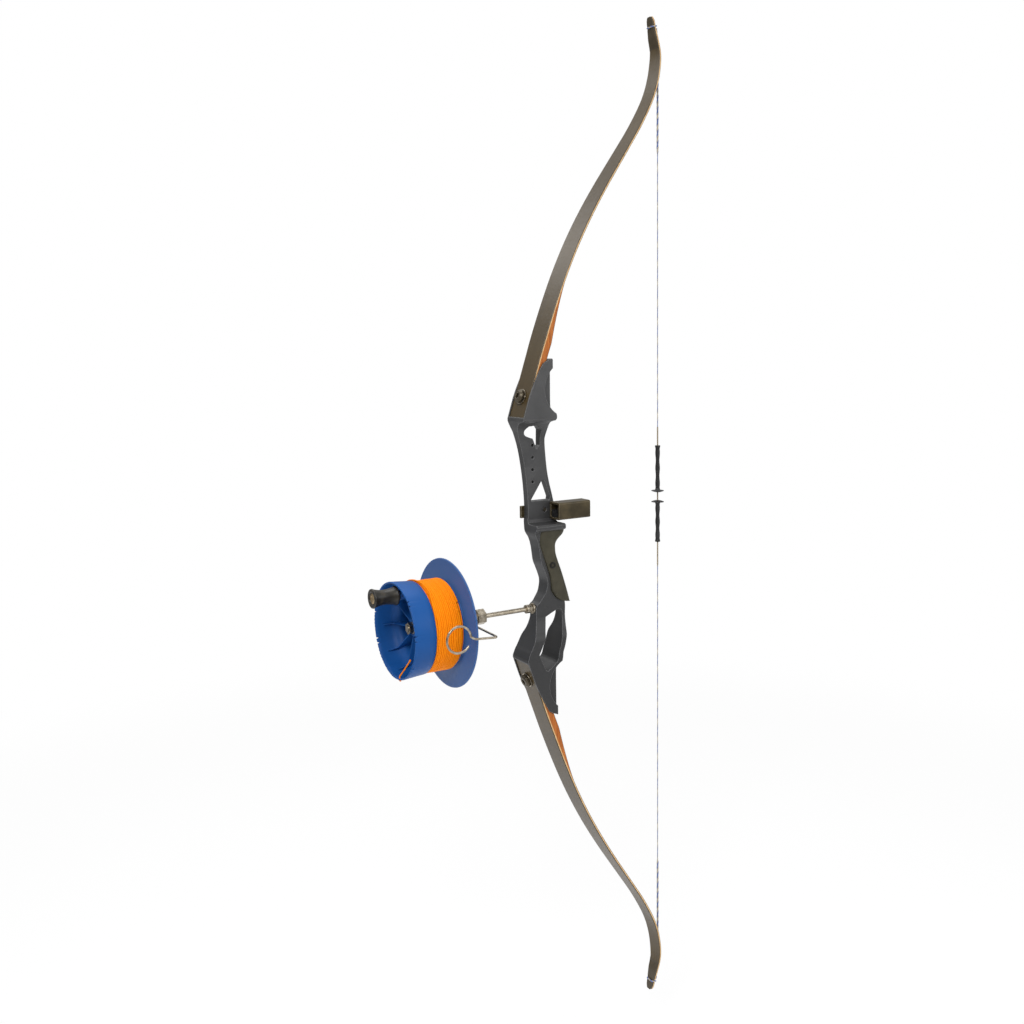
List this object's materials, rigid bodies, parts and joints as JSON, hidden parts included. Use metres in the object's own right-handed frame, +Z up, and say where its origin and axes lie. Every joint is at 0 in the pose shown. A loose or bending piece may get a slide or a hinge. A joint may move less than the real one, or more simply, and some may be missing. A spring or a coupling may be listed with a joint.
{
  "type": "bowfishing_recurve_bow",
  "caption": "Take-down recurve bow for fishing practice, with laminated limbs, a boxed arrow rest and a front-mounted line drum",
  "frame": {"origin": "throat of the grip on the bow's centre plane, where the web of the archer's hand sits", "axes": "+X towards the archer and the string, +Z up along the string, +Y to the archer's right; the arrow flies towards -X"},
  "size_m": [0.4499, 0.1723, 1.375],
  "materials": {
    "riser_metal": "satin",
    "limb_glass_back": "satin",
    "limb_glass_belly": "satin",
    "limb_core": "satin",
    "limb_wedge": "satin",
    "tip_overlay": "satin",
    "grip_rubber": "satin",
    "bolt_black": "satin",
    "nickel": "satin",
    "string_blue": "matte",
    "string_pale": "matte",
    "serving": "matte",
    "black_rubber": "matte",
    "rest_plastic": "satin",
    "drum_blue": "satin",
    "line_orange": "matte",
    "knob_black": "satin",
    "brass": "polished"
  },
  "bodies": {
    "riser": {"riser": "riser_metal", "grip": "grip_rubber", "grip_screw_near": "bolt_black", "grip_screw_far": "bolt_black", "upper_butt_back": "limb_glass_back", "upper_butt_core": "limb_core", "upper_butt_wedge": "limb_wedge", "upper_butt_belly": "limb_glass_belly", "lower_butt_back": "limb_glass_back", "lower_butt_core": "limb_core", "lower_butt_wedge": "limb_wedge", "lower_butt_belly": "limb_glass_belly", "upper_limb_bolt": "bolt_black", "upper_limb_washer": "nickel", "upper_locating_pin": "nickel", "lower_limb_bolt": "bolt_black", "lower_limb_washer": "nickel", "lower_locating_pin": "nickel", "rest_housing": "rest_plastic", "rest_bracket": "rest_plastic", "rest_bolt": "nickel", "rest_cradle": "black_rubber", "stabiliser_bushing": "nickel", "reel_rod": "nickel", "rod_washer": "nickel", "rod_nut": "nickel", "coupler_nut": "nickel", "drum_spindle": "nickel", "drum_nut": "nickel", "guide_collar": "nickel", "wire_guide": "nickel"},
    "nocking_point": {"centre_serving": "serving"},
    "upper_limb": {"upper_blade_back": "limb_glass_back", "upper_blade_core": "limb_core", "upper_blade_belly": "limb_glass_belly", "upper_tip_overlay": "tip_overlay", "upper_string_loop": "string_blue"},
    "lower_limb": {"lower_blade_back": "limb_glass_back", "lower_blade_core": "limb_core", "lower_blade_belly": "limb_glass_belly", "lower_tip_overlay": "tip_overlay", "lower_string_loop": "string_blue"},
    "upper_neck": {"upper_string_neck": "string_blue"},
    "lower_neck": {"lower_string_neck": "string_blue"},
    "upper_string_half": {"upper_string": "string_pale", "upper_serving": "serving", "upper_finger_saver": "black_rubber"},
    "lower_string_half": {"lower_string": "string_pale", "lower_serving": "serving", "lower_finger_saver": "black_rubber"},
    "drum_body": {"drum": "drum_blue", "knob_spindle": "brass", "line_bulk": "line_orange", "line_winding": "line_orange", "line_tail": "line_orange"},
    "knob_body": {"knob": "knob_black"}
  },
  "joints": [
    {"name": "draw", "type": "slide", "parent": "riser", "child": "nocking_point", "axis": [1, 0, 0], "range_m": [0, 0.489], "stiffness_N_per_m": 350},
    {"name": "upper_limb_flex", "type": "hinge", "parent": "riser", "child": "upper_limb", "pos_m": [0.01238, 0, 0.34622], "axis": [0, 1, 0], "range_deg": [0, 27.05]},
    {"name": "upper_neck_lift", "type": "hinge", "parent": "upper_limb", "child": "upper_neck", "pos_m": [0.1714, 0, 0.68735], "axis": [0, -1, 0], "range_deg": [0, 50.66], "deforming": ["upper_string_neck"]},
    {"name": "upper_string_swing", "type": "hinge", "parent": "nocking_point", "child": "upper_string_half", "pos_m": [0.178, 0, 0.0513], "axis": [0, -1, 0], "range_deg": [0, 34.23], "deforming": ["upper_string"]},
    {"name": "lower_limb_flex", "type": "hinge", "parent": "riser", "child": "lower_limb", "pos_m": [0.02004, 0, -0.3222], "axis": [0, -1, 0], "range_deg": [0, 25.69]},
    {"name": "lower_neck_lift", "type": "hinge", "parent": "lower_limb", "child": "lower_neck", "pos_m": [0.16985, 0, -0.66353], "axis": [0, 1, 0], "range_deg": [0, 43.32], "deforming": ["lower_string_neck"]},
    {"name": "lower_string_swing", "type": "hinge", "parent": "nocking_point", "child": "lower_string_half", "pos_m": [0.178, 0, 0.0513], "axis": [0, 1, 0], "range_deg": [0, 30.59], "deforming": ["lower_string"]},
    {"name": "drum_spin", "type": "hinge", "parent": "riser", "child": "drum_body", "pos_m": [-0.1795, 0, -0.0798], "axis": [-1, 0, 0], "continuous": true},
    {"name": "knob_spin", "type": "hinge", "parent": "drum_body", "child": "knob_body", "pos_m": [-0.2375, 0, -0.0363], "axis": [-1, 0, 0], "continuous": true}
  ],
  "couplings": [
    {"joint": "upper_limb_flex", "follows": "draw", "rad_per_m": 0.96478},
    {"joint": "upper_neck_lift", "follows": "draw", "rad_per_m": 1.8075},
    {"joint": "upper_string_swing", "follows": "draw", "rad_per_m": 1.221},
    {"joint": "lower_limb_flex", "follows": "draw", "rad_per_m": 0.91621},
    {"joint": "lower_neck_lift", "follows": "draw", "rad_per_m": 1.5456},
    {"joint": "lower_string_swing", "follows": "draw", "rad_per_m": 1.0913}
  ]
}
